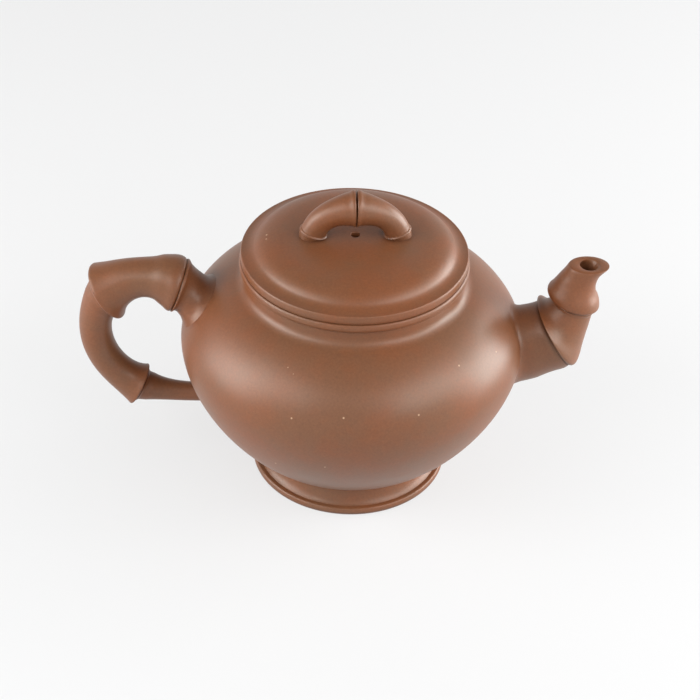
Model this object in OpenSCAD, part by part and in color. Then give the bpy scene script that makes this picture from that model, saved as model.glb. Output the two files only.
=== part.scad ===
// Round clay teapot in the bamboo style: a full belly on a ring foot, a jointed handle and spout,
// and a lid that lifts off by an arched knob. Each piece is a clay member that a potter forms by
// itself and joins to its neighbours. Millimetres, +Z up, handle on -X, spout on +X.
// The origin is on the axis of the belly, on the face that the foot rests on.

/* [Belly] */
// Outer radius of the belly at its widest
belly_r = 51.5; // [49:0.5:54]
// Height of the widest place
belly_z = 47; // [45:0.5:49]
// Thickness of the belly wall and the shoulder
wall = 2.6; // [2:0.1:3.2]
// Height of the join between belly wall and shoulder plate
seam_z = 61; // [58:0.5:63]
// Thickness of the shoulder round the mouth
throat_t = 4.2; // [3.8:0.1:4.8]
// Thickness of the base plate
base_t = 2.8; // [2.2:0.1:3.4]
// How far the base plate reaches down into the foot
base_lap = 1.6; // [1.2:0.1:2]

/* [Foot] */
// Height of the foot, up to the belly
foot_h = 9; // [8:0.25:10]
// Outer radius of the belly at the foot
waist_r = 27.7; // [26.5:0.1:29]
// Outer radius of the foot band
foot_r = 30; // [29.6:0.1:31.5]
// Height of the foot band
band_h = 2.4; // [2:0.1:3]
// How far the foot band bulges
band_bulge = 0.4; // [0.2:0.05:0.6]
// Step from the foot band in to the cove above it
cove_step = 1.5; // [1.2:0.1:2]
// Width of the foot's ring, from its edge in to its hollow
foot_w = 5.6; // [4.5:0.1:7]

/* [Neck and mouth] */
// Outer radius of the neck
neck_r = 33; // [32.5:0.1:33.5]
// Height of the join between shoulder and neck
neck_z = 69.4; // [69:0.1:70]
// Height of the neck ring
neck_h = 3.2; // [2.8:0.1:3.6]
// How far the neck flares at its top
neck_flare = 0.3; // [0.2:0.05:0.5]
// Thickness of the neck's wall, from the neck in to the mouth opening
neck_wall = 3.2; // [2.6:0.1:4]
// Height of the rounded mouth band
mouth_h = 2.25; // [2:0.05:2.6]
// How far the mouth band bulges
mouth_bulge = 0.6; // [0.4:0.05:0.9]

/* [Lid] */
// Height of the lid band
lid_band_h = 2.4; // [2:0.05:2.8]
// How far the lid band bulges
lid_bulge = 0.5; // [0.3:0.05:0.8]
// How far the lid's edge stays inside the mouth band's edge
lid_margin = 0.6; // [0.2:0.05:0.8]
// Step from the lid band in to the foot of the dome
lid_step = 2.3; // [2:0.1:3]
// Height of the dome above the lid band
dome_h = 5.6; // [5:0.1:7]
// Height of the rounded shoulder of the dome
dome_shoulder_h = 3; // [2.6:0.1:3.6]
// Width of the rounded shoulder of the dome
dome_shoulder_w = 6.1; // [5.5:0.1:7]
// Thickness of the dome
dome_t = 3.2; // [2.6:0.1:3.8]
// Depth of the skirt that sits in the mouth
skirt_h = 8; // [6:0.5:9]
// Thickness of the skirt
skirt_t = 2.2; // [1.8:0.1:2.8]
// Clearance between the skirt and the mouth
skirt_gap = 0.4; // [0.3:0.05:0.6]
// Diameter of the steam hole
vent_d = 2.6; // [2:0.1:3.2]

/* [Knob] */
// Distance from the middle of the lid to the middle of each foot of the knob
knob_reach = 12.6; // [11:0.2:13.5]
// Height of the arch's middle line above the top of the lid
knob_rise = 9.3; // [8.8:0.1:11]
// Half thickness of each arm at its foot, its waist and the middle node
knob_half = [4.4, 3.3, 5.6];
// Half depth of each arm at its foot, its waist and the middle node
knob_deep = [3.2, 3.2, 5.4];
// Turn of the knob against the line of handle and spout
knob_turn = 4; // [0:1:10]

/* [Handle] */
// Each place on the handle is [out, up] from the belly's widest place.
// Middle of the upper node, near the belly
node_1 = [0.4, 15.9];
// Middle of the outer node
node_2 = [22.1, 12.6];
// Middle of the lower node
node_3 = [13.5, -22.4];
// Middle of the grip's outer bend
grip_bend = [25.8, -4.9];
// Half thickness of the root at the belly, its waist and the upper node
root_half = [6.6, 5.3, 7.2];
// Half depth of the root along Y at the belly, its waist and the upper node
root_deep = [14.5, 6, 7.5];
// Half thickness of the top section at its two ends and its waist
top_half = [8.8, 5.3, 9.4];
// Half thickness of the grip at its two ends and its waist
grip_half = [7.1, 4.85, 6.5];
// Half thickness of the tail at the lower node, its waist and the belly
tail_half = [5, 3.1, 2.9];
// Heading of the plane in which the root meets the belly, in degrees from +X towards +Z
heading_root = 125; // [120:1:130]
// Heading of the plane of the upper node
heading_1 = 160; // [155:1:165]
// Heading of the plane of the outer node
heading_2 = 213.5; // [209:0.5:218]
// Heading of the plane of the lower node
heading_3 = 332.6; // [328:0.2:337]

/* [Spout] */
// Each place on the spout is [out, up] from the belly's widest place.
// Middle of the lower node of the spout
node_a = [9.9, 2.6];
// Middle of the upper node of the spout
node_b = [14.3, 14.3];
// Middle of the pouring mouth
spout_mouth = [17.5, 27.9];
// How far the outside of the mouth is set towards the pour
pour_lip = 0.7; // [0.3:0.1:1]
// Where the spout's middle line leaves the belly, below the widest place
spout_drop = 3.4; // [2:0.2:6]
// Half height of the spout root at the belly, its waist and the lower node
sroot_half = [14.2, 11.2, 10.6];
// Half depth of the spout root along Y at the belly, its waist and the lower node
sroot_deep = [11, 9.8, 10.6];
// Half thickness of the middle section at its two ends and its waist
smid_half = [12.6, 7.2, 6.6];
// Half thickness of the tip at the upper node, its waist and the mouth
stip_half = [9.6, 5.4, 5.3];
// Half depth of the tip along Y at the upper node, its waist and the mouth
stip_deep = [9.6, 5.4, 4.3];
// Radius of the channel at the belly, the lower node, the upper node and the mouth
bore_r = [7.2, 6, 4.4, 2.75];
// Heading of the plane in which the spout meets the belly
heading_spout = 16; // [13:1:19]
// Heading of the plane of the lower node
heading_a = 30; // [27:1:33]
// Heading of the plane of the upper node
heading_b = 75; // [72:1:78]

/* [Strainer] */
// Outer radius of the perforated dome inside the belly
strainer_r = 9.6; // [9:0.2:10.5]
// Thickness of the perforated dome
strainer_t = 1.8; // [1.4:0.1:2.2]
// Diameter of each hole in the dome
strainer_hole_d = 2.2; // [1.8:0.1:2.6]

/* [Hidden] */

clay = "#8c634d";
dark_clay = "#7f543d";
$fn = 96;
sides = 28;             // faces round each bamboo section

// ---------------------------------------------------------------- curves
// A point on the Bezier curve through control points p, and its direction there
function bez(p, t) = pow(1 - t, 3) * p[0] + 3 * pow(1 - t, 2) * t * p[1]
    + 3 * (1 - t) * t * t * p[2] + pow(t, 3) * p[3];
function bez_dir(p, t) = 3 * pow(1 - t, 2) * (p[1] - p[0]) + 6 * (1 - t) * t * (p[2] - p[1])
    + 3 * t * t * (p[3] - p[2]);
// The point at a distance inwards from a profile that climbs with its outside on the right
function inset(p, t, by) = let (d = bez_dir(p, t)) bez(p, t) + by * [-d[1], d[0]] / norm(d);
// Where the curve reaches a goal on one axis, by halving
function solve(p, axis, goal, lo = 0, hi = 1, n = 30) = let (m = (lo + hi) / 2)
    n == 0 ? m
    : (bez(p, m)[axis] < goal) == (bez(p, 0)[axis] < goal) ? solve(p, axis, goal, m, hi, n - 1)
    : solve(p, axis, goal, lo, m, n - 1);
function steps(from, to, n) = [for (i = [0 : n]) from + (to - from) * i / n];
function backwards(list) = [for (i = [len(list) - 1 : -1 : 0]) list[i]];

// The outside of a band of radius r and height h that bulges by an arc, as [r, z] from z up
bead_turn = 60;         // half the angle that the arc turns through
function bead(r, bulge, z, h) = [for (a = steps(-bead_turn, bead_turn, 8)) [
    r + bulge * (cos(a) - cos(bead_turn)) / (1 - cos(bead_turn)),
    z + h / 2 * (1 + sin(a) / sin(bead_turn))
]];

// ---------------------------------------------------------------- belly profile, as [r, z]
mouth_r = neck_r - neck_wall;              // radius of the mouth opening
widest = [belly_r, belly_z];
lower = [[waist_r, foot_h], [waist_r + 10.5, foot_h + 5.4], widest - [0, 12.4], widest];
upper = [widest, widest + [0, 8], [neck_r + 10.1, neck_z - 4.6], [neck_r - 1.6, neck_z - 1.4]];
seam_t = solve(upper, 1, seam_z);

// The shoulder turns up into the neck along a quadratic curve
fillet_reach = 2.5;
fillet_t = solve(upper, 0, neck_r + fillet_reach);
fillet_start = bez(upper, fillet_t);
fillet_slope = bez_dir(upper, fillet_t)[1] / bez_dir(upper, fillet_t)[0];
fillet_corner = [neck_r, fillet_start[1] - fillet_reach * fillet_slope];
function fillet(t) = pow(1 - t, 2) * fillet_start + 2 * t * (1 - t) * fillet_corner
    + t * t * [neck_r, neck_z];

wall_outer = concat([for (t = steps(0, 1, 14)) bez(lower, t)],
    [for (t = steps(seam_t / 8, seam_t, 7)) bez(upper, t)]);
wall_inner = concat([for (t = steps(0, 1, 14)) inset(lower, t, wall)],
    [for (t = steps(seam_t / 8, seam_t, 7)) inset(upper, t, wall)]);
shoulder_outer = [for (t = steps(seam_t, fillet_t, 8)) bez(upper, t)];
shoulder_inner = [for (t = steps(seam_t, fillet_t, 8)) inset(upper, t, wall)];

// The belly as one solid block, outside and inside, to trim what is joined to it
module outside_of_belly() {
    rotate_extrude() polygon(concat([[0, foot_h]], wall_outer, shoulder_outer, [[0, neck_z - 2]]));
}

module inside_of_belly() {
    rotate_extrude() polygon(concat([[0, foot_h + wall]], wall_inner, [[0, seam_z]]));
}

// ---------------------------------------------------------------- bamboo sections
// A ring about c = [x, z], in the plane that crosses a path going along the heading
function ring(c, heading, w, d) = [for (k = [0 : sides - 1]) let (a = 360 * k / sides)
    [c[0] + w * cos(a) * sin(heading), d * sin(a), c[1] - w * cos(a) * cos(heading)]];

// The stations along a section lie closer together towards its ends
stations = [0, 0.02, 0.05, 0.1, 0.17, 0.27, 0.38, 0.5, 0.62, 0.73, 0.83, 0.9, 0.95, 0.98, 1];

// A width that is s[1] at the waist and opens to s[0] and s[2] at the ends
function swell(s, t, power) = s[1] + (s[0] - s[1]) * pow(1 - t, power[0])
    + (s[2] - s[1]) * pow(t, power[1]);
// What a rim of radius r takes off at a distance from its edge
function rim(r, at) = at < r ? r - sqrt(r * r - pow(r - at, 2)) : 0;

// Rings of a section along a path, fanned out evenly between end planes at two headings.
// power says how late the section opens towards each end, and lips are the radii of its two rims.
function section(path, headings, half, deep, power, lips) = let (long = norm(path[3] - path[0]))
    [for (t = stations) let (
        heading = headings[0] + (headings[1] - headings[0]) * t,
        less = rim(lips[0], t * long) + rim(lips[1], (1 - t) * long)
    ) ring(bez(path, t), heading, swell(half, t, power) - less, swell(deep, t, power) - less)];

// Triangles between successive rings; the flipped ones face inwards
function band_faces(first, rings, flip) = [for (i = [0 : rings - 2], k = [0 : sides - 1], half = [0, 1])
    let (
        a = first + i * sides + k,
        b = first + i * sides + (k + 1) % sides,
        c = a + sides,
        d = b + sides,
        tri = half == 0 ? [a, d, b] : [a, c, d]
    ) flip ? [tri[2], tri[1], tri[0]] : tri];

module solid_section(rings) {
    n = len(rings);
    polyhedron([for (r = rings, p = r) p],
        concat(band_faces(0, n, false), [[for (k = [0 : sides - 1]) k]],
            [[for (k = [sides - 1 : -1 : 0]) (n - 1) * sides + k]]), convexity = 6);
}

module hollow_section(rings, bores) {
    n = len(rings);
    m = n * sides;
    last = (n - 1) * sides;
    polyhedron([for (list = [rings, bores], r = list, p = r) p],
        concat(band_faces(0, n, false), band_faces(m, n, true),
            [for (k = [0 : sides - 1]) let (j = (k + 1) % sides) [j, m + j, m + k, k]],
            [for (k = [0 : sides - 1]) let (j = (k + 1) % sides)
                [m + last + k, m + last + j, last + j, last + k]]),
        convexity = 8);
}

// ---------------------------------------------------------------- paths, as [x, z]
// A place given from the belly's widest place, on the handle's side or the spout's
function on_handle(p) = [-belly_r - p[0], belly_z + p[1]];
function on_spout(p) = [belly_r + p[0], belly_z + p[1]];
// A middle line that sets off by one pull and comes in by the other
function curve(from, to, pulls) = [from, from + pulls[0], to + pulls[1], to];

root_start = [-6.9, 7];                    // both ends of the handle start inside the wall
tail_end = [-13.5, node_3[1] - 1.6];
root_pulls = [[-2.2, 3.2], [3.4, -2]];
top_pulls = [[-6, 3.3], [7, 6.3]];
grip_pull = [0.2, 8];                      // at the outer bend the grip runs almost straight down
tail_pulls = [[4.9, -1.6], [-15.6, -1]];
n1 = on_handle(node_1);
n2 = on_handle(node_2);
n3 = on_handle(node_3);
root_path = curve(on_handle(root_start), n1, root_pulls);
top_path = curve(n1, n2, top_pulls);
grip_middle = (4 * on_handle(grip_bend) - (n2 + n3) / 2) / 3;
grip_path = [n2, grip_middle + grip_pull, grip_middle - grip_pull, n3];
tail_path = curve(n3, on_handle(tail_end), tail_pulls);

sroot_start = [-9.5, -spout_drop];
sroot_pulls = [[8, 1], [-5, -2.9]];
smid_pulls = [[0.8, 2.8], [-1.4, -4.4]];
stip_pulls = [[0, 4.5], [-2.6, -4]];
na = on_spout(node_a);
nb = on_spout(node_b);
mouth = on_spout(spout_mouth);
sroot_path = curve(on_spout(sroot_start), na, sroot_pulls);
smid_path = curve(na, nb, smid_pulls);
stip_path = curve(nb, mouth, stip_pulls);
stip_outer_path = [for (i = [0 : 3]) stip_path[i] + (i < 2 ? [0, 0] : [pour_lip, 0])];

// ---------------------------------------------------------------- belly and foot
foot_in_r = foot_r - foot_w;
base_z = foot_h - base_lap;
// Cove of the foot, from the band up to the belly
cove = [[foot_r - cove_step, band_h], [foot_r - 3.2, band_h + 1.2],
    [waist_r - 1.5, foot_h - 2.8], [waist_r - 0.8, foot_h]];
base_cut = solve(cove, 1, base_z);
base_edge_r = waist_r - 6;                 // where the base plate starts to rise to the wall

module body_wall() {
    color(clay) difference() {
        rotate_extrude() polygon(concat(wall_outer, backwards(wall_inner)));
        spout_port();
    }
}

module base_plate() {
    color(dark_clay) rotate_extrude() polygon(concat([[0, base_z]],
        [for (t = steps(base_cut, 1, 3)) bez(cove, t)],
        [wall_outer[0], wall_inner[0], [base_edge_r, base_z + base_t + 0.2], [0, base_z + base_t]]));
}

module shoulder_plate() {
    color(clay) rotate_extrude() polygon(concat(shoulder_outer, [for (t = steps(0.2, 1, 4)) fillet(t)],
        [[mouth_r, neck_z], [mouth_r, neck_z - throat_t]], backwards(shoulder_inner)));
}

module foot_ring() {
    color(clay) rotate_extrude() polygon(concat([for (t = steps(0, base_cut, 8)) bez(cove, t)],
        [[foot_in_r - 1, base_z], [foot_in_r, band_h]]));
}

module foot_band() {
    color(clay) rotate_extrude() polygon(concat(bead(foot_r - band_bulge, band_bulge, 0, band_h),
        [[foot_in_r, band_h], [foot_in_r + 0.3, 0]]));
}

// ---------------------------------------------------------------- neck and mouth
mouth_z = neck_z + neck_h + mouth_h;       // face that the lid rests on

module neck_ring() {
    top = neck_z + neck_h;
    color(clay) rotate_extrude() polygon([[mouth_r, neck_z], [neck_r, neck_z],
        [neck_r - neck_flare / 2, neck_z + neck_h * 0.4], [neck_r, neck_z + neck_h * 0.8],
        [neck_r + neck_flare, top], [mouth_r, top]]);
}

module mouth_band() {
    color(clay) rotate_extrude() polygon(concat(
        bead(neck_r + neck_flare, mouth_bulge, neck_z + neck_h, mouth_h),
        [[mouth_r, mouth_z], [mouth_r, neck_z + neck_h]]));
}

// ---------------------------------------------------------------- spout
// Where the channel leaves the belly, and its tilt from upright
port = bez(sroot_path, 0.4);
port_dir = bez_dir(sroot_path, 0.4);
port_tilt = atan2(port_dir[0], port_dir[1]);

module spout_port() {
    translate([port[0], 0, port[1]]) rotate([0, port_tilt, 0])
        cylinder(h = 10 * wall, r = bore_r[0] - 0.6, center = true);
}

// Holes in two rings round the axis of the dome
module strainer_holes() {
    for (row = [1, 2], k = [0 : 6 * row - 1])
        rotate([0, 0, (k + 0.5) * 60 / row]) rotate([0, 24 * row, 0])
            translate([0, 0, strainer_r - strainer_t - 1])
                cylinder(h = strainer_t + 2, d = strainer_hole_d);
}

module strainer() {
    color(dark_clay) difference() {
        intersection() {
            strainer_frame() sphere(r = strainer_r);
            inside_of_belly();
        }
        strainer_frame() sphere(r = strainer_r - strainer_t);
        strainer_frame() strainer_holes();
    }
}

// The dome faces back along the channel, with its middle near the wall's inner side
module strainer_frame() {
    translate([belly_r - wall - 2, 0, belly_z - spout_drop - 2.6]) rotate([0, port_tilt + 180, 0])
        children();
}

// The channel tapers evenly along its path
function bore(path, headings, r) = let (three = [r[0], (r[0] + r[1]) / 2, r[1]])
    section(path, headings, half = three, deep = three, power = [1, 1], lips = [0, 0]);

module spout_root() {
    at = [heading_spout, heading_a];
    color(clay) difference() {
        hollow_section(
            section(sroot_path, at, sroot_half, sroot_deep, power = [2.2, 4], lips = [0, 0.8]),
            bore(sroot_path, at, [bore_r[0], bore_r[1]]));
        outside_of_belly();
    }
}

module spout_middle() {
    at = [heading_a, heading_b];
    color(clay) hollow_section(
        section(smid_path, at, smid_half, smid_half, power = [4, 2], lips = [1.8, 0.4]),
        bore(smid_path, at, [bore_r[1], bore_r[2]]));
}

module spout_tip() {
    at = [heading_b, 90];
    color(clay) hollow_section(
        section(stip_outer_path, at, stip_half, stip_deep, power = [2.4, 3], lips = [3.2, 0.5]),
        bore(stip_path, at, [bore_r[2], bore_r[3]]));
}

// ---------------------------------------------------------------- handle
module handle_root() {
    at = [heading_root, heading_1];
    color(clay) difference() {
        solid_section(section(root_path, at, root_half, root_deep, power = [2.5, 3], lips = [0, 0.6]));
        outside_of_belly();
    }
}

module handle_top() {
    at = [heading_1, heading_2];
    color(clay) solid_section(
        section(top_path, at, top_half, top_half, power = [3.6, 3.6], lips = [1.4, 1.4]));
}

module handle_grip() {
    at = [heading_2, heading_3];
    color(clay) solid_section(
        section(grip_path, at, grip_half, grip_half, power = [7, 14], lips = [0.5, 0.6]));
}

module handle_tail() {
    at = [heading_3, 360];
    color(clay) difference() {
        solid_section(section(tail_path, at, tail_half, tail_half, power = [3, 2], lips = [0.3, 0]));
        outside_of_belly();
    }
}

// ---------------------------------------------------------------- lid
lid_r = neck_r + neck_flare + mouth_bulge - lid_margin;
dome_r = lid_r - lid_step;
dome_z = mouth_z + lid_band_h;
dome_top = dome_z + dome_h;
skirt_r = mouth_r - skirt_gap;
lid_in_r = skirt_r - skirt_t;              // inner radius of the skirt and of the band over it

// Outside of the dome: a rounded shoulder, then a shallow crown
shoulder_turn = 66;
function dome_shoulder(a) = [dome_r - dome_shoulder_w * (1 - cos(a)), dome_z + dome_shoulder_h * sin(a)];
crown_start = dome_shoulder(shoulder_turn);
crown = [crown_start, crown_start + [-5, 1.05], [8, dome_top], [0, dome_top]];
dome_outer = concat([for (a = steps(0, shoulder_turn, 6)) dome_shoulder(a)],
    [for (t = steps(0.125, 1, 7)) bez(crown, t)]);

module dome_block() {
    rotate_extrude() polygon(concat(dome_outer, [[0, dome_z - 2], [dome_r, dome_z - 2]]));
}

module lid_plate() {
    color(clay) difference() {
        rotate_extrude() polygon(concat(dome_outer,
            [[0, dome_top - dome_t], [lid_in_r - 6, dome_top - dome_t - 0.6], [lid_in_r, dome_z]]));
        translate([0, 0, dome_z]) cylinder(h = dome_h + 1, d = vent_d);
    }
}

module lid_band() {
    color(clay) rotate_extrude() polygon(concat(bead(lid_r - lid_bulge, lid_bulge, mouth_z, lid_band_h),
        [[lid_in_r, dome_z], [lid_in_r, mouth_z]]));
}

module lid_skirt() {
    low = mouth_z - skirt_h;
    chamfer = 0.8;
    color(clay) rotate_extrude() polygon([[lid_in_r, mouth_z], [lid_in_r, low], [skirt_r - chamfer, low],
        [skirt_r, low + chamfer], [skirt_r, mouth_z]]);
}

// ---------------------------------------------------------------- knob
knob_top = dome_top + knob_rise;
knob_path = [[-knob_reach, dome_z + 0.9], [-knob_reach - 0.4, knob_top - 5.4],
    [4.6 - knob_reach, knob_top - 1.8], [0, knob_top]];

module knob_arm() {
    rotate([0, 0, knob_turn]) difference() {
        solid_section(section(knob_path, [90, 0], knob_half, knob_deep, power = [3, 3.4], lips = [0, 1]));
        dome_block();
    }
}

module knob_arm_left() {
    color(clay) knob_arm();
}

module knob_arm_right() {
    color(clay) rotate([0, 0, 180]) knob_arm();
}

body_wall();
shoulder_plate();
base_plate();
foot_ring();
foot_band();
neck_ring();
mouth_band();
strainer();
spout_root();
spout_middle();
spout_tip();
handle_root();
handle_top();
handle_grip();
handle_tail();
lid_plate();
lid_band();
lid_skirt();
knob_arm_left();
knob_arm_right();
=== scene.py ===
# A round clay teapot in the bamboo style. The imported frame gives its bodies, joint and outer sizes, and
# this script dresses them: turned clay walls, jointed bamboo handle, spout and knob, clay finish, studio.
import math

import bpy
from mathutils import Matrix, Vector


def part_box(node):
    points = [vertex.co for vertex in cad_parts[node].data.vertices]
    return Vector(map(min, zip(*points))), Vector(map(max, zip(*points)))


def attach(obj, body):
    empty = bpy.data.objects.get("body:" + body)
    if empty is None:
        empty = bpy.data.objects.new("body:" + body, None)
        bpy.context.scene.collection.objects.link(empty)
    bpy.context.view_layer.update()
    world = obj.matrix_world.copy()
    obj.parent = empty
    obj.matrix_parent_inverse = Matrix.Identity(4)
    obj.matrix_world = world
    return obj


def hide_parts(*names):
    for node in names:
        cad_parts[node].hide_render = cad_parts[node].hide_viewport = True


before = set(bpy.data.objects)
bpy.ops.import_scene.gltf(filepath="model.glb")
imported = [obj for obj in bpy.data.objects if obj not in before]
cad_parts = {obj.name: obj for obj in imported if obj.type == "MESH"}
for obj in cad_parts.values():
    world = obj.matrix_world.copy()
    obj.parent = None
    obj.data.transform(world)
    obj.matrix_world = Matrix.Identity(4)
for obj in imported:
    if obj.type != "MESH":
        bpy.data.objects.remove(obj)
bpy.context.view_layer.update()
mm = 0.001  # all shapes below are given in millimetres
weldGap = 0.002 * mm  # points nearer than this become one


def topOf(node):
    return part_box(node)[1].z / mm


def floorOf(node):
    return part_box(node)[0].z / mm


def radiusOf(node):
    # half the width across, which nothing cuts into on a turned piece
    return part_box(node)[1].y / mm


print("frame loaded:", len(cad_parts), "nodes")


# Clay finishes

def linkIn(tree, fromSocket, toSocket):
    tree.links.new(fromSocket, toSocket)


def addNode(tree, kind, place, **settings):
    node = tree.nodes.new(kind)
    node.location = place
    for name, value in settings.items():
        setattr(node, name, value)
    return node


def addMix(tree, place):
    return addNode(tree, "ShaderNodeMix", place, data_type="RGBA", blend_type="MIX", clamp_result=True)


def addRange(tree, place, given, result, **settings):
    # turns values from one end of given to the other into those from one end of result to the other
    node = addNode(tree, "ShaderNodeMapRange", place, **settings)
    for name, value in zip(("From Min", "From Max", "To Min", "To Max"), (*given, *result)):
        node.inputs[name].default_value = value
    return node


# The look of fired zisha clay: fine grain, slow clouding, rare pale specks, and painted shade that darkens
# the creases.
# It puts out a colour, a roughness and a height.
grainAndShadeLook = {
    "grainScale": 1500.0, "grainDetail": 4.0, "grainRoughness": 0.7,  # grains of about 0.7 mm
    "grainSpan": (0.3, 0.7), "grainDepth": (0.85, 1.15),
    "cloudScale": 42.0, "cloudDetail": 6.0, "cloudRoughness": 0.66,  # clouds of about 24 mm
    "cloudSpan": (0.41, 0.61),
    "speckCells": 620.0, "speckEdge": (0.13, 0.22),  # one possible speck in each 1.6 mm cell
    # painted shade in creases: how far the occlusion looks, the occlusion range it fades over, and its
    # strongest mix
    "creaseShadeReach": 2.2 * mm, "creaseShadeSpan": (0.35, 0.95), "creaseShadeDepth": 0.75,
    "shineSpan": (0.3, 0.7), "shineDepth": 0.03,
}


def buildClayGrainAndShade():
    group = bpy.data.node_groups.new("clayGrainAndShade", "ShaderNodeTree")
    face = group.interface
    for name, kind in (("Clay", "NodeSocketColor"), ("Warm Clay", "NodeSocketColor"),
                       ("Crease Shade", "NodeSocketColor"), ("Speck", "NodeSocketColor"),
                       ("Speck Share", "NodeSocketFloat"), ("Roughness", "NodeSocketFloat")):
        face.new_socket(name, in_out="INPUT", socket_type=kind)
    for name, kind in (("Color", "NodeSocketColor"), ("Roughness", "NodeSocketFloat"),
                       ("Height", "NodeSocketFloat")):
        face.new_socket(name, in_out="OUTPUT", socket_type=kind)
    given = addNode(group, "NodeGroupInput", (-900, 0))
    out = addNode(group, "NodeGroupOutput", (1100, 0))
    place = addNode(group, "ShaderNodeTexCoord", (-900, -300)).outputs["Object"]

    cloud = addNode(group, "ShaderNodeTexNoise", (-600, 300))
    cloud.inputs["Scale"].default_value = grainAndShadeLook["cloudScale"]
    cloud.inputs["Detail"].default_value = grainAndShadeLook["cloudDetail"]
    cloud.inputs["Roughness"].default_value = grainAndShadeLook["cloudRoughness"]
    grain = addNode(group, "ShaderNodeTexNoise", (-600, 0))
    grain.inputs["Scale"].default_value = grainAndShadeLook["grainScale"]
    grain.inputs["Detail"].default_value = grainAndShadeLook["grainDetail"]
    grain.inputs["Roughness"].default_value = grainAndShadeLook["grainRoughness"]
    cells = addNode(group, "ShaderNodeTexVoronoi", (-600, -300))
    cells.inputs["Scale"].default_value = grainAndShadeLook["speckCells"]
    for texture in (cloud, grain, cells):
        linkIn(group, place, texture.inputs["Vector"])

    # clouding between the two clays
    cloudRamp = addRange(group, (-400, 300), grainAndShadeLook["cloudSpan"], (0.0, 1.0))
    linkIn(group, cloud.outputs["Fac"], cloudRamp.inputs["Value"])
    clouded = addMix(group, (-150, 300))
    linkIn(group, cloudRamp.outputs["Result"], clouded.inputs["Factor"])
    linkIn(group, given.outputs["Clay"], clouded.inputs["A"])
    linkIn(group, given.outputs["Warm Clay"], clouded.inputs["B"])

    # grain lightens and darkens the clay
    grainRamp = addRange(group, (-400, 0), grainAndShadeLook["grainSpan"], grainAndShadeLook["grainDepth"])
    linkIn(group, grain.outputs["Fac"], grainRamp.inputs["Value"])
    grained = addNode(group, "ShaderNodeVectorMath", (100, 250), operation="SCALE")
    linkIn(group, clouded.outputs["Result"], grained.inputs["Vector"])
    linkIn(group, grainRamp.outputs["Result"], grained.inputs["Scale"])

    # a speck shows where a cell's own number is low and the surface passes near its middle
    chance = addNode(group, "ShaderNodeSeparateColor", (-400, -200))
    linkIn(group, cells.outputs["Color"], chance.inputs["Color"])
    chosen = addNode(group, "ShaderNodeMath", (-200, -200), operation="LESS_THAN")
    linkIn(group, chance.outputs["Red"], chosen.inputs[0])
    linkIn(group, given.outputs["Speck Share"], chosen.inputs[1])
    near = addRange(group, (-400, -400), grainAndShadeLook["speckEdge"], (1.0, 0.0))
    linkIn(group, cells.outputs["Distance"], near.inputs["Value"])
    speck = addNode(group, "ShaderNodeMath", (0, -250), operation="MULTIPLY")
    linkIn(group, chosen.outputs["Value"], speck.inputs[0])
    linkIn(group, near.outputs["Result"], speck.inputs[1])
    specked = addMix(group, (350, 200))
    linkIn(group, speck.outputs["Value"], specked.inputs["Factor"])
    linkIn(group, grained.outputs["Vector"], specked.inputs["A"])
    linkIn(group, given.outputs["Speck"], specked.inputs["B"])

    # painted shade: ambient occlusion mixes the clay towards the darker crease colour in creases and hollows,
    # where shade falls
    crease = addNode(group, "ShaderNodeAmbientOcclusion", (350, -100), samples=8)
    crease.inputs["Distance"].default_value = grainAndShadeLook["creaseShadeReach"]
    creaseShadeRamp = addRange(group, (550, -100), grainAndShadeLook["creaseShadeSpan"], (grainAndShadeLook["creaseShadeDepth"], 0.0))
    linkIn(group, crease.outputs["AO"], creaseShadeRamp.inputs["Value"])
    creaseShaded = addMix(group, (800, 200))
    linkIn(group, creaseShadeRamp.outputs["Result"], creaseShaded.inputs["Factor"])
    linkIn(group, specked.outputs["Result"], creaseShaded.inputs["A"])
    linkIn(group, given.outputs["Crease Shade"], creaseShaded.inputs["B"])
    linkIn(group, creaseShaded.outputs["Result"], out.inputs["Color"])

    # handling polishes some clouds a little more than others
    depth = grainAndShadeLook["shineDepth"]
    shine = addRange(group, (100, 500), grainAndShadeLook["shineSpan"], (-depth, depth))
    linkIn(group, cloud.outputs["Fac"], shine.inputs["Value"])
    rough = addNode(group, "ShaderNodeMath", (350, 500), operation="ADD")
    linkIn(group, given.outputs["Roughness"], rough.inputs[0])
    linkIn(group, shine.outputs["Result"], rough.inputs[1])
    linkIn(group, rough.outputs["Value"], out.inputs["Roughness"])

    # grains and specks stand up a little
    height = addNode(group, "ShaderNodeMath", (350, -400), operation="ADD")
    linkIn(group, grain.outputs["Fac"], height.inputs[0])
    linkIn(group, speck.outputs["Value"], height.inputs[1])
    linkIn(group, height.outputs["Value"], out.inputs["Height"])
    return group


clayGrainAndShade = buildClayGrainAndShade()


def clayMaterial(name, look):
    material = bpy.data.materials.new(name)
    material.use_nodes = True
    tree = material.node_tree
    shader = tree.nodes["Principled BSDF"]
    grain = addNode(tree, "ShaderNodeGroup", (-500, 100), node_tree=clayGrainAndShade)
    for socket in ("Clay", "Warm Clay", "Crease Shade", "Speck", "Speck Share", "Roughness"):
        value = look[socket]
        grain.inputs[socket].default_value = (*value, 1.0) if isinstance(value, tuple) else value
    bump = addNode(tree, "ShaderNodeBump", (-220, -150))
    bump.inputs["Strength"].default_value = look["bump"]
    bump.inputs["Distance"].default_value = look["bumpDepth"]
    linkIn(tree, grain.outputs["Color"], shader.inputs["Base Color"])
    linkIn(tree, grain.outputs["Roughness"], shader.inputs["Roughness"])
    linkIn(tree, grain.outputs["Height"], bump.inputs["Height"])
    linkIn(tree, bump.outputs["Normal"], shader.inputs["Normal"])
    shader.inputs["IOR"].default_value = look["ior"]
    shader.inputs["Specular Tint"].default_value = (*look["glint"], 1.0)
    return material


# in each look the crease colour is painted shade, mixed in where the clay is occluded
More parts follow.
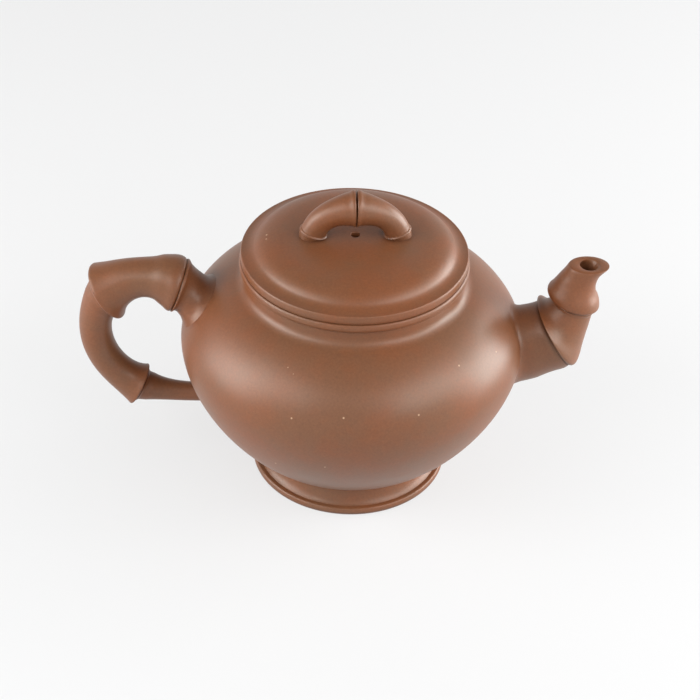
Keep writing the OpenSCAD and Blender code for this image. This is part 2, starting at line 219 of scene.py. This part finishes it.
burnishedLook = {
    "Clay": (0.139, 0.0565, 0.0255), "Warm Clay": (0.162, 0.0525, 0.0187), "Crease Shade": (0.066, 0.022, 0.008),
    "Speck": (0.42, 0.27, 0.17), "Speck Share": 0.006, "Roughness": 0.40,
    "bump": 0.25, "bumpDepth": 0.03 * mm, "ior": 1.5, "glint": (1.0, 0.95, 0.88),
}
innerLook = {
    "Clay": (0.150, 0.054, 0.022), "Warm Clay": (0.16, 0.052, 0.018), "Crease Shade": (0.06, 0.018, 0.007),
    "Speck": (0.40, 0.28, 0.19), "Speck Share": 0.015, "Roughness": 0.68,
    "bump": 0.5, "bumpDepth": 0.05 * mm, "ior": 1.45, "glint": (1.0, 0.95, 0.88),
}
burnishedClay = clayMaterial("burnishedClay", burnishedLook)
innerClay = clayMaterial("innerClay", innerLook)
print("clay finishes ready")


# Bench tools: a potter's wheel for turned walls, and a ring-by-ring builder for bamboo sections

wheel = {"turns": 176, "fineness": 16, "smoothAngle": 38}
bamboo = {"sides": 64, "ringSpacing": 0.8, "fewestRings": 12}


def deselectAll():
    bpy.ops.object.select_all(action="DESELECT")


def pickOnly(piece):
    deselectAll()
    piece.select_set(True)
    bpy.context.view_layer.objects.active = piece


def smoothPiece(piece):
    pickOnly(piece)
    bpy.ops.object.shade_smooth_by_angle(angle=math.radians(wheel["smoothAngle"]))


def dressPiece(piece, body, material, nodes):
    piece.data.materials.clear()
    piece.data.materials.append(material)
    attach(piece, body)
    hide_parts(*nodes)


def leaned(point, lean):
    return [point[0] + lean[0], point[1] + lean[1]]


def turnOnWheel(name, strokes, fineness=wheel["fineness"]):
    # strokes follow each other round a closed profile of [radius, height]; a stroke of four points is a
    # curve with its two handles, and one of two points is a straight line
    deselectAll()
    bpy.ops.curve.primitive_bezier_curve_add(location=(0, 0, 0))
    drawn = bpy.context.object
    drawn.data.dimensions = "3D"
    spline = drawn.data.splines[0]
    spline.bezier_points.add(len(strokes) - len(spline.bezier_points))
    spline.use_cyclic_u = True
    spline.resolution_u = fineness
    for point in spline.bezier_points:
        point.handle_left_type = "FREE"
        point.handle_right_type = "FREE"
    for index, stroke in enumerate(strokes):
        marks = [Vector((r * mm, 0, z * mm)) for r, z in stroke]
        if len(marks) == 2:
            marks = [marks[0], marks[0].lerp(marks[1], 1 / 3), marks[0].lerp(marks[1], 2 / 3), marks[1]]
        here = spline.bezier_points[index]
        ahead = spline.bezier_points[(index + 1) % len(strokes)]
        here.co = marks[0]
        here.handle_right = marks[1]
        ahead.handle_left = marks[2]
    drawn.select_set(True)
    bpy.ops.object.convert(target="MESH")
    piece = bpy.context.object
    piece.name = name
    bpy.ops.object.mode_set(mode="EDIT")
    bpy.ops.mesh.select_all(action="SELECT")
    bpy.ops.mesh.remove_doubles(threshold=weldGap)
    bpy.ops.mesh.spin(steps=wheel["turns"], angle=math.tau, center=(0, 0, 0), axis=(0, 0, 1))
    bpy.ops.mesh.select_all(action="SELECT")
    bpy.ops.mesh.remove_doubles(threshold=weldGap)
    bpy.ops.mesh.normals_make_consistent(inside=False)
    bpy.ops.object.mode_set(mode="OBJECT")
    smoothPiece(piece)
    return piece


def growRings(name, rings):
    # each ring is (x, z, heading, half width, half depth); a heading of 90 lies flat and looks up
    deselectAll()
    x, z, heading, width, depth = rings[0][:5]
    bpy.ops.mesh.primitive_circle_add(vertices=bamboo["sides"], radius=1.0, fill_type="NOTHING",
                                      location=(0, 0, 0))
    piece = bpy.context.object
    piece.name = name
    bpy.ops.object.mode_set(mode="EDIT")
    bpy.ops.mesh.select_all(action="SELECT")
    bpy.ops.transform.resize(value=(width * mm, depth * mm, width * mm), center_override=(0, 0, 0))
    bpy.ops.transform.rotate(value=math.radians(heading - 90), orient_axis="Y", center_override=(0, 0, 0))
    bpy.ops.transform.translate(value=(x * mm, 0, z * mm))
    for before, after in zip(rings, rings[1:]):
        step = ((after[0] - before[0]) * mm, 0, (after[1] - before[1]) * mm)
        middle = (after[0] * mm, 0, after[1] * mm)
        bpy.ops.mesh.extrude_region_move(TRANSFORM_OT_translate={"value": step})
        bpy.ops.transform.rotate(value=math.radians(after[2] - before[2]), orient_axis="Y",
                                 center_override=middle)
        wider, deeper = after[3] / before[3], after[4] / before[4]
        bpy.ops.transform.resize(value=(wider, deeper, wider), center_override=middle)
    bpy.ops.object.mode_set(mode="OBJECT")
    return piece


def closeEnds(piece):
    # fills open ends, or joins a channel's end to the ring it started from
    bpy.context.view_layer.objects.active = piece
    bpy.ops.object.mode_set(mode="EDIT")
    bpy.ops.mesh.select_all(action="SELECT")
    bpy.ops.mesh.remove_doubles(threshold=weldGap)
    bpy.ops.mesh.select_all(action="DESELECT")
    bpy.ops.mesh.select_non_manifold(extend=False)
    bpy.ops.mesh.fill_holes(sides=0)
    bpy.ops.mesh.select_all(action="SELECT")
    bpy.ops.mesh.normals_make_consistent(inside=False)
    bpy.ops.object.mode_set(mode="OBJECT")
    smoothPiece(piece)


def alongPath(path, t):
    back = 1 - t
    shares = (back ** 3, 3 * back * back * t, 3 * back * t * t, t ** 3)
    return [sum(share * point[axis] for share, point in zip(shares, path)) for axis in (0, 1)]


def swell(widths, t, late):
    # widths at the start, the waist and the end; late says how near its end each swelling begins
    if late:
        return (widths[1] + (widths[0] - widths[1]) * (1 - t) ** late[0]
                + (widths[2] - widths[1]) * t ** late[1])
    # otherwise widths are (share of the length, width), joined by a smooth curve through all of them
    last = len(widths) - 1
    index = next((i for i in range(last) if t <= widths[i + 1][0]), last - 1)
    (near, first), (far, second) = widths[index], widths[index + 1]
    slopes = []
    for i in (index, index + 1):
        below, above = widths[max(i - 1, 0)], widths[min(i + 1, last)]
        slopes.append((above[1] - below[1]) / (above[0] - below[0]) * (far - near))
    share = min(1.0, (t - near) / (far - near))
    return (first * (1 + 2 * share) * (1 - share) ** 2 + second * share ** 2 * (3 - 2 * share)
            + slopes[0] * share * (1 - share) ** 2 + slopes[1] * share ** 2 * (share - 1))


def rimTrim(rim, away):
    # what the rim adds to the half width at this distance from its end plane
    for (near, first), (far, second) in zip(rim, rim[1:]):
        if near <= away < far:
            return first + (second - first) * (away - near) / (far - near)
    return 0.0


def sectionRings(look):
    # rings from the start of the path to its end, each with its distance from the start
    path = look["path"]
    long = (Vector(path[3]) - Vector(path[0])).length
    marks = {away / long for away, _ in look["startRim"]}
    marks |= {1 - away / long for away, _ in look["endRim"]}
    steps = max(bamboo["fewestRings"], round(long / bamboo["ringSpacing"]))
    marks |= {step / steps for step in range(steps + 1)}
    rings = []
    for t in sorted(marks):
        x, z = alongPath(path, t)
        first, last = look["headings"]
        trim = rimTrim(look["startRim"], t * long) + rimTrim(look["endRim"], (1 - t) * long)
        rings.append((x, z, first + (last - first) * t, swell(look["width"], t, look["late"]) + trim,
                      swell(look["depth"], t, look["late"]) + trim, t * long))
    return rings


# Turned walls of the pot

# points are [radius, height], and a pull is the handle that bends the curve towards it
potWall = {
    "foot": [27.7, floorOf("body_wall")], "footPull": [38.5, 15.4],
    "widest": [radiusOf("body_wall"), 47.0], "widestPulls": (33.5, 54.03), "shoulderPull": [45.01, 62.45],
    "filletFrom": [35.5, 66.56], "filletCorner": [33.0, 67.64],
    "neck": [32.75, 69.4], "neckPulls": ([32.65, 70.6], [32.6, 71.9]),
    "crease": [32.6, floorOf("mouth_band")],
    "mouth": 29.8, "throat": 65.2, "throatPull": [40.0, 63.2],
    "innerWidest": [48.9, 47.0], "innerPulls": (55.0, 36.0), "innerFootPull": [36.6, 16.6],
    "innerFoot": [26.5, 11.4],
    "portAt": [50.6, 45.2], "portRise": 13, "portRadius": 6.6, "portDepth": 20, "fineness": 22,
}


def bellyStrokes(look):
    # the belly's outside, from the foot past its widest line to the fillet under the neck
    foot, widest, start = look["foot"], look["widest"], look["filletFrom"]
    below, above = look["widestPulls"]
    return [
        [foot, look["footPull"], [widest[0], below], widest],
        [widest, [widest[0], above], look["shoulderPull"], start],
    ]


def buildPotWall(look):
    neck, crease, start, corner = look["neck"], look["crease"], look["filletFrom"], look["filletCorner"]
    pull = 2 / 3  # handles this far towards the corner turn it into a smooth fillet
    toCorner = [start[axis] + pull * (corner[axis] - start[axis]) for axis in (0, 1)]
    fromCorner = [neck[axis] + pull * (corner[axis] - neck[axis]) for axis in (0, 1)]
    inner, innerFoot, mouth, throat = look["innerWidest"], look["innerFoot"], look["mouth"], look["throat"]
    above, below = look["innerPulls"]
    strokes = bellyStrokes(look) + [
        [start, toCorner, fromCorner, neck],
        [neck, *look["neckPulls"], crease],
        [crease, [mouth, crease[1]]],
        [[mouth, crease[1]], [mouth, throat]],
        [[mouth, throat], look["throatPull"], [inner[0], above], inner],
        [inner, [inner[0], below], look["innerFootPull"], innerFoot],
        [innerFoot, look["foot"]],
    ]
    return turnOnWheel("potWall", strokes, look["fineness"])


def buildBellyBlock(look):
    # the belly's outside as one solid, for seating the handle and the spout on it
    foot, neck = look["foot"], look["neck"]
    strokes = bellyStrokes(look) + [
        [look["filletFrom"], neck],
        [neck, [0.0, neck[1]]],
        [[0.0, neck[1]], [0.0, foot[1]]],
        [[0.0, foot[1]], foot],
    ]
    return turnOnWheel("bellyBlock", strokes, look["fineness"])


def cutSpoutPort(wall, look):
    deselectAll()
    x, z = look["portAt"]
    bpy.ops.mesh.primitive_cylinder_add(vertices=bamboo["sides"], radius=look["portRadius"] * mm,
                                        depth=look["portDepth"] * mm, location=(x * mm, 0, z * mm),
                                        rotation=(0, math.radians(90 - look["portRise"]), 0))
    drill = bpy.context.object
    pickOnly(wall)
    bpy.ops.object.modifier_add(type="BOOLEAN")
    cut = wall.modifiers[-1]
    cut.operation, cut.solver, cut.object = "DIFFERENCE", "EXACT", drill
    bpy.ops.object.modifier_apply(modifier=cut.name)
    bpy.data.objects.remove(drill)
    smoothPiece(wall)


potBody = buildPotWall(potWall)
cutSpoutPort(potBody, potWall)
dressPiece(potBody, "pot", burnishedClay, ["body_wall", "shoulder_plate", "neck_ring"])
bellyBlock = buildBellyBlock(potWall)
print("belly, shoulder and neck turned")


# Mouth band, foot band and foot ring, each turned on its own

mouthBand = {"radius": 33.1, "bulge": 0.75, "inside": 29.8,
             "low": floorOf("mouth_band") - 0.3, "high": topOf("mouth_band")}
footBand = {"radius": 29.5, "bulge": 0.7, "inside": 24.4, "flare": 0.3,
            "low": floorOf("foot_band"), "high": topOf("foot_band")}
footRing = {"low": [28.5, footBand["high"]], "lowPull": [26.8, 3.6], "highPull": [26.2, 6.2],
            "high": [26.9, floorOf("body_wall")], "top": 1.5,
            "inside": 24.4, "insideHigh": floorOf("base_plate") + 0.4}


def bandStrokes(look):
    # a half-round band, drawn from its lower outer edge upwards; its curve goes three quarters of the way
    # to its handles
    radius, low, high = look["radius"], look["low"], look["high"]
    nose = radius + look["bulge"] / 0.75
    inside, insideLow = look["inside"], look["inside"] + look.get("flare", 0.0)
    return [
        [[radius, low], [nose, low], [nose, high], [radius, high]],
        [[radius, high], [inside, high]],
        [[inside, high], [insideLow, low]],
        [[insideLow, low], [radius, low]],
    ]


def buildFootRing(look):
    low, high = look["low"], look["high"]
    topInside = [high[0] - look["top"], high[1]]
    insideHigh, insideLow = [look["inside"], look["insideHigh"]], [look["inside"], low[1]]
    strokes = [
        [low, look["lowPull"], look["highPull"], high],
        [high, topInside],
        [topInside, insideHigh],
        [insideHigh, insideLow],
        [insideLow, low],
    ]
    return turnOnWheel("footRing", strokes)


dressPiece(turnOnWheel("mouthBand", bandStrokes(mouthBand)), "pot", burnishedClay, ["mouth_band"])
dressPiece(turnOnWheel("footBand", bandStrokes(footBand)), "pot", burnishedClay, ["foot_band"])
dressPiece(buildFootRing(footRing), "pot", burnishedClay, ["foot_ring"])
print("bands and foot turned")


# Lid: a domed plate with a steam hole, the band round its edge, and the skirt that drops into the neck

lidBand = {"radius": 33.0, "bulge": 0.45, "inside": 27.2,
           "low": floorOf("lid_band"), "high": topOf("lid_band") + 0.4}
lidDome = {"edge": [32.85, lidBand["high"]], "edgeLean": (-1.5, 0.08),
           "cove": [29.3, 79.15], "coveLeans": ((0.75, -0.9), (-1.3, 1.56)),
           "shoulder": [22.9, 82.3], "shoulderLean": (3.4, -0.6), "shoulderPull": [19.6, 82.83],
           "crown": topOf("lid_plate"), "crownPull": 11.0, "vent": 1.3, "ventRim": 0.35, "ventPull": 0.1,
           "thick": 3.2, "ceilingLean": (-6, -0.6), "inside": 27.2, "fineness": 20}
lidSkirt = {"inside": 27.2, "outside": radiusOf("lid_skirt"), "chamfer": 0.8,
            "low": floorOf("lid_skirt"), "high": topOf("lid_skirt"), "fineness": 3}


def buildLidDome(look):
    edge, cove, shoulder, crown = look["edge"], look["cove"], look["shoulder"], look["crown"]
    vent, rim, soft, inner = look["vent"], look["ventRim"], look["ventPull"], look["inside"]
    outerLean, innerLean = look["coveLeans"]
    ceiling = crown - look["thick"]
    ceilingEdge = leaned([inner, ceiling], look["ceilingLean"])
    strokes = [
        [edge, leaned(edge, look["edgeLean"]), leaned(cove, outerLean), cove],
        [cove, leaned(cove, innerLean), leaned(shoulder, look["shoulderLean"]), shoulder],
        [shoulder, look["shoulderPull"], [look["crownPull"], crown], [vent + rim, crown]],
        [[vent + rim, crown], [vent + soft, crown], [vent, crown - soft], [vent, crown - rim]],
        [[vent, crown - rim], [vent, ceiling]],
        [[vent, ceiling], ceilingEdge],
        [ceilingEdge, [inner, edge[1]]],
        [[inner, edge[1]], edge],
    ]
    return turnOnWheel("lidDome", strokes, look["fineness"])


def buildLidSkirt(look):
    inside, outside, low, high = look["inside"], look["outside"], look["low"], look["high"]
    chamfer = look["chamfer"]
    corners = [[inside, high], [inside, low], [outside - chamfer, low], [outside, low + chamfer],
               [outside, high]]
    strokes = [[here, ahead] for here, ahead in zip(corners, corners[1:] + corners[:1])]
    return turnOnWheel("lidSkirt", strokes, look["fineness"])


dressPiece(buildLidDome(lidDome), "lid", burnishedClay, ["lid_plate"])
dressPiece(turnOnWheel("lidBand", bandStrokes(lidBand)), "lid", burnishedClay, ["lid_band"])
dressPiece(buildLidSkirt(lidSkirt), "lid", burnishedClay, ["lid_skirt"])
print("lid turned")


# Bamboo sections. Each swells at its nodes; a rim is a rolled edge or, on the neighbour, a fine raised ring.

seatFit = {"ease": 2.5, "sunk": 0.15}


def seatOnBelly(piece, aways, reach):
    # the ring at the belly lies just in its surface, and rings further away follow it less and less
    seat = piece.vertex_groups.new(name="seat")
    sides = bamboo["sides"]
    for index, away in enumerate(aways):
        ring = list(range(index * sides, (index + 1) * sides))
        seat.add(ring, max(0.0, 1 - away / reach) ** seatFit["ease"], "REPLACE")
    pickOnly(piece)
    bpy.ops.object.modifier_add(type="SHRINKWRAP")
    wrap = piece.modifiers[-1]
    wrap.target, wrap.vertex_group, wrap.offset = bellyBlock, seat.name, -seatFit["sunk"] * mm
    wrap.wrap_method, wrap.wrap_mode = "NEAREST_SURFACEPOINT", "ABOVE_SURFACE"
    bpy.ops.object.modifier_apply(modifier=wrap.name)


# a rim lists (distance from the end plane, what is added to the half width there)
rolledRim = [(0, -0.75), (0.15, -0.42), (0.4, -0.12), (0.8, 0.14), (1.4, 0.36), (2.1, 0.42), (2.9, 0.3),
             (3.8, 0.1), (4.8, 0.0)]
flaredRim = [(0, -0.8), (0.08, -0.35), (0.2, -0.1), (0.4, 0.05), (0.8, 0.0)]
ringedRim = [(0, -0.55), (0.15, -0.3), (0.3, -0.1), (0.5, 0.02), (0.75, 0.0), (1.05, -0.2), (1.4, -0.32),
             (2.4, -0.24), (4.2, 0.0)]
creasedRim = [(0, -0.85), (0.3, -0.72), (0.7, -0.5), (1.2, -0.26), (1.8, -0.1), (2.6, 0.0)]

# a section's path is a curve of four points (x, z), its headings are the tilts of its first and last ring,
# and its widths and depths are half sizes along it
# the handle's three bamboo nodes, and the point that the grip passes halfway
rootNode, bendNode, tailNode, gripBend = [-51.9, 62.9], [-73.6, 59.6], [-65.0, 24.6], [-77.3, 42.1]
gripPull = [(4 * gripBend[axis] - (bendNode[axis] + tailNode[axis]) / 2) / 3 for axis in (0, 1)]
gripLean = (0.2, 8)
handleRoot = {
    "path": [[-47.1, 57.9], [-48.4, 59.9], [-49.9, 61.7], rootNode], "headings": (138, 160),
    "width": (7.4, 6.0, 8.6), "depth": (9.6, 6.9, 8.6), "late": (2.8, 2.0),
    "startRim": [(0, 1.3), (0.3, 1.2), (0.5, 0.85), (0.9, 0.45), (1.4, 0.18), (2.0, 0.04), (2.6, 0.0)],
    "endRim": ringedRim, "seated": "start", "seatReach": 3.4,
}
handleTop = {
    "path": [rootNode, [-58.0, 66.1], [-66.2, 67.1], bendNode], "headings": (160, 213.5),
    "width": [(0.0, 8.5), (0.08, 8.1), (0.17, 7.95), (0.25, 7.5), (0.35, 6.4), (0.5, 5.95), (0.62, 6.1),
              (0.75, 6.6), (0.88, 7.6), (1.0, 9.3)],
    "depth": [(0.0, 8.5), (0.08, 8.1), (0.18, 7.6), (0.28, 7.0), (0.38, 6.3), (0.5, 6.05), (0.62, 6.1),
              (0.75, 6.6), (0.88, 7.6), (1.0, 9.3)],
    "late": None, "startRim": rolledRim, "endRim": flaredRim,
}
handleGrip = {
    "path": [bendNode, leaned(gripPull, gripLean), [gripPull[0] - gripLean[0], gripPull[1] - gripLean[1]],
             tailNode],
    "headings": (213.5, 332.6), "width": (7.5, 4.85, 6.9), "depth": (7.5, 4.85, 6.9), "late": (7.0, 13.0),
    "startRim": ringedRim, "endRim": flaredRim,
}
handleTail = {
    "path": [tailNode, [-60.1, 23.0], [-53.6, 22.0], [-42.6, 22.6]], "headings": (332.6, 346),
    "width": (5.6, 3.1, 3.0), "depth": (5.6, 3.1, 3.0), "late": (3.0, 2.0),
    "startRim": ringedRim, "endRim": [(0, 1.5), (0.4, 1.0), (1.0, 0.5), (2.0, 0.12), (3.0, 0.0)],
    "seated": "end", "seatReach": 3.2,
}
for name, look, node in (("handleRoot", handleRoot, "handle_root"), ("handleTop", handleTop, "handle_top"),
                         ("handleGrip", handleGrip, "handle_grip"),
                         ("handleTail", handleTail, "handle_tail")):
    rings = sectionRings(look)
    piece = growRings(name, rings)
    if "seated" in look:
        reach = rings[-1][5] if look["seated"] == "end" else 0.0
        seatOnBelly(piece, [abs(ring[5] - reach) for ring in rings], look["seatReach"])
    closeEnds(piece)
    dressPiece(piece, "pot", burnishedClay, [node])
print("handle grown")


# Spout: three hollow sections on one channel

lowSpoutNode, highSpoutNode = [61.4, 49.6], [65.8, 61.5]
spoutRoot = {
    "path": [[50.0, 44.3], [54.4, 46.6], [58.2, 48.4], lowSpoutNode], "headings": (9, 30),
    "width": (13.1, 10.9, 11.3), "depth": (10.8, 10.1, 11.2), "late": (2.6, 4.0),
    "startRim": [(0, 2.3), (0.3, 1.5), (0.7, 0.9), (1.2, 0.5), (1.9, 0.2), (2.8, 0.04), (4.4, 0.0)],
    "endRim": creasedRim, "bore": (7.0, 6.0), "seatReach": 4.6,
}
spoutMiddle = {
    "path": [[61.2, 49.9], [62.2, 52.4], [64.4, 56.9], highSpoutNode], "headings": (30, 77),
    "width": [(0.0, 11.9), (0.11, 11.8), (0.22, 10.9), (0.38, 9.2), (0.62, 7.5), (0.85, 6.7), (1.0, 6.3)],
    "depth": [(0.0, 11.6), (0.11, 11.5), (0.22, 10.7), (0.38, 9.1), (0.62, 7.5), (0.85, 6.6), (1.0, 6.0)],
    "late": None,
    "startRim": [(0, -1.7), (0.15, -1.2), (0.4, -0.75), (0.8, -0.38), (1.3, -0.12), (1.9, -0.02), (2.5, 0.0)],
    "endRim": ringedRim, "bore": (6.0, 4.4),
}
spoutTip = {
    "path": [highSpoutNode, [64.2, 65.6], [65.0, 70.6], [68.9, 74.9]], "headings": (77, 90),
    "width": [(0.0, 7.5), (0.08, 7.85), (0.18, 7.95), (0.28, 7.65), (0.38, 6.75), (0.5, 6.1), (0.66, 5.6),
              (0.8, 5.4), (0.92, 5.7), (1.0, 6.05)],
    "depth": [(0.0, 7.3), (0.1, 7.5), (0.22, 7.3), (0.4, 6.3), (0.58, 5.3), (0.8, 4.75), (1.0, 4.7)],
    "late": None,
    "startRim": [(0, -1.5), (0.1, -0.95), (0.25, -0.55), (0.5, -0.25), (0.9, -0.05), (1.4, 0.0)],
    "endRim": [(0, -0.5), (0.08, -0.25), (0.22, -0.08), (0.5, 0.0)], "bore": (4.4, 2.75),
}
channel = {"edge": 0.35, "steps": 12}


def channelRings(look):
    # back down the channel, opening over a softened edge at each end
    first, last = look["headings"]
    opened, closed = look["bore"]
    long = (Vector(look["path"][3]) - Vector(look["path"][0])).length
    edge, steps = channel["edge"], channel["steps"]
    soft = 0.3 * edge  # both how far in and how much wider the middle ring of an edge is
    marks = [1.0, 1.0 - soft / long, 1.0 - edge / long]
    marks += [step / steps for step in range(steps - 1, 0, -1)] + [edge / long, soft / long, 0.0]
    widths = {0: edge, 1: soft, len(marks) - 2: soft, len(marks) - 1: edge}
    rings = []
    for index, t in enumerate(marks):
        x, z = alongPath(look["path"], t)
        radius = opened + (closed - opened) * t + widths.get(index, 0.0)
        rings.append((x, z, first + (last - first) * t, radius, radius))
    return rings


for name, look, node in (("spoutRoot", spoutRoot, "spout_root"),
                         ("spoutMiddle", spoutMiddle, "spout_middle"), ("spoutTip", spoutTip, "spout_tip")):
    outside = sectionRings(look)
    inside = channelRings(look)
    piece = growRings(name, outside + inside + outside[:1])
    if "seatReach" in look:
        # the channel stays where it is, and the last ring closes on the first
        reach = look["seatReach"]
        seatOnBelly(piece, [ring[5] for ring in outside] + [reach] * len(inside) + [0.0], reach)
    closeEnds(piece)
    dressPiece(piece, "pot", burnishedClay, [node])
print("spout grown")


# Knob: two bamboo arms that meet over the steam hole

knobArm = {
    "path": [[-12.6, 78.15], [-13.3, 87.5], [-8.2, 90.8], [-0.1, 91.9]], "headings": (95, 1.4),
    "width": (4.1, 3.6, 5.6), "depth": (3.1, 3.7, 5.4), "late": (3.0, 4.4),
    "startRim": [(0, 0.0), (4.1, 0.1), (4.3, 0.38), (4.55, 0.42), (4.75, 0.28), (4.9, 0.05), (5.2, 0.0)],
    "endRim": [(0, -0.55), (0.1, -0.26), (0.22, -0.06), (0.4, 0.05), (0.65, 0.03), (1.0, -0.1), (1.5, -0.08),
               (2.2, 0.0)],
    "turn": 4.0,
}


def buildKnobArm(name, look, side):
    piece = growRings(name, sectionRings(look))
    closeEnds(piece)
    pickOnly(piece)
    bpy.ops.object.mode_set(mode="EDIT")
    bpy.ops.mesh.select_all(action="SELECT")
    turn = look["turn"] if side == "left" else look["turn"] + 180
    bpy.ops.transform.rotate(value=-math.radians(turn), orient_axis="Z", center_override=(0, 0, 0))
    bpy.ops.object.mode_set(mode="OBJECT")
    return piece


for side in ("left", "right"):
    arm = buildKnobArm("knobArm" + side.capitalize(), knobArm, side)
    dressPiece(arm, "lid", burnishedClay, ["knob_arm_" + side])
print("knob grown")
bpy.data.objects.remove(bellyBlock)


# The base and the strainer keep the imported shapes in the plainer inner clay
for node in ("base_plate", "strainer"):
    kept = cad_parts[node]
    kept.data.materials.clear()
    kept.data.materials.append(innerClay)


# Camera, floor and lamps

view = {"lens": 92.57, "place": (0.0, -0.4338, 0.3756), "aim": (0.0, 0.0, 0.030), "roll": 1.88,
        "shift": (-0.001, 0.0386)}
room = {"floorTint": (0.19, 0.191, 0.192, 1.0), "floorGlow": 0.625, "floorRadius": 3.0,
        "floorRoughness": 0.7, "backdrop": (0.93, 0.93, 0.93, 1.0), "white": (1.0, 1.0, 1.0, 1.0),
        "climb": (0.1, 0.85), "glow": (0.97, 0.26), "lampAim": (0.0, 0.0, 0.045)}
lamps = {
    "leftLamp": {"azimuth": -171, "height": 17, "away": 0.62, "size": (0.38, 0.32), "power": 3.0},
    "leftArchLamp": {"azimuth": -145, "height": 36, "away": 0.62, "size": (0.48, 0.26), "power": 1.8},
    "rightLamp": {"azimuth": 14, "height": 11, "away": 0.62, "size": (0.52, 0.38), "power": 6.0},
    "rightArchLamp": {"azimuth": -34, "height": 34, "away": 0.62, "size": (0.54, 0.27), "power": 2.45},
    "frontLamp": {"azimuth": -88, "height": 42, "away": 0.75, "size": (0.50, 0.16), "power": 0.33},
}


def hangLamp(name, look):
    azimuth, height = math.radians(look["azimuth"]), math.radians(look["height"])
    towards = Vector((math.cos(azimuth) * math.cos(height), math.sin(azimuth) * math.cos(height),
                      math.sin(height)))
    data = bpy.data.lights.new(name, "AREA")
    data.shape = "RECTANGLE"
    data.size, data.size_y = look["size"]
    data.energy = look["power"]
    lamp = bpy.data.objects.new(name, data)
    bpy.context.scene.collection.objects.link(lamp)
    lamp.location = Vector(room["lampAim"]) + towards * look["away"]
    lamp.rotation_euler = towards.to_track_quat("Z", "Y").to_euler()


def buildRoom(look):
    world = bpy.data.worlds.new("paleRoom")
    bpy.context.scene.world = world
    world.use_nodes = True
    tree = world.node_tree
    ray = addNode(tree, "ShaderNodeLightPath", (-600, 200))
    # the room is bright at the walls and dim at the ceiling
    sky = addNode(tree, "ShaderNodeTexCoord", (-900, -100))
    climb = addNode(tree, "ShaderNodeSeparateXYZ", (-700, -100))
    strength = addRange(tree, (-500, -100), look["climb"], look["glow"], interpolation_type="SMOOTHSTEP")
    linkIn(tree, sky.outputs["Generated"], climb.inputs["Vector"])
    linkIn(tree, climb.outputs["Z"], strength.inputs["Value"])
    glow = tree.nodes["Background"]
    glow.inputs["Color"].default_value = look["white"]
    linkIn(tree, strength.outputs["Result"], glow.inputs["Strength"])
    seen = addNode(tree, "ShaderNodeBackground", (0, -200))
    seen.inputs["Color"].default_value = look["backdrop"]
    choice = addNode(tree, "ShaderNodeMixShader", (300, 0))
    linkIn(tree, ray.outputs["Is Camera Ray"], choice.inputs["Fac"])
    linkIn(tree, glow.outputs["Background"], choice.inputs[1])
    linkIn(tree, seen.outputs["Background"], choice.inputs[2])
    linkIn(tree, choice.outputs["Shader"], tree.nodes["World Output"].inputs["Surface"])


def layFloor(look):
    deselectAll()
    bpy.ops.mesh.primitive_circle_add(vertices=96, radius=look["floorRadius"], fill_type="NGON",
                                      location=(0, 0, 0))
    floor = bpy.context.object
    floor.name = "tableTop"
    material = bpy.data.materials.new("paleTable")
    material.use_nodes = True
    shader = material.node_tree.nodes["Principled BSDF"]
    shader.inputs["Base Color"].default_value = look["floorTint"]
    shader.inputs["Roughness"].default_value = look["floorRoughness"]
    shader.inputs["Emission Color"].default_value = look["white"]
    shader.inputs["Emission Strength"].default_value = look["floorGlow"]
    floor.data.materials.append(material)


def setCamera(look):
    data = bpy.data.cameras.new("camera")
    data.lens = look["lens"]
    data.shift_x, data.shift_y = look["shift"]
    camera = bpy.data.objects.new("camera", data)
    bpy.context.scene.collection.objects.link(camera)
    camera.location = look["place"]
    sight = Vector(look["aim"]) - camera.location
    camera.rotation_euler = sight.to_track_quat("-Z", "Y").to_euler()
    camera.rotation_euler.rotate_axis("Z", math.radians(look["roll"]))
    bpy.context.scene.camera = camera


buildRoom(room)
layFloor(room)
for name, look in lamps.items():
    hangLamp(name, look)
setCamera(view)

scene = bpy.context.scene
scene.render.resolution_x = 700
scene.render.resolution_y = 700
scene.view_settings.view_transform = "Standard"
scene.cycles.samples = 160
print("studio ready")
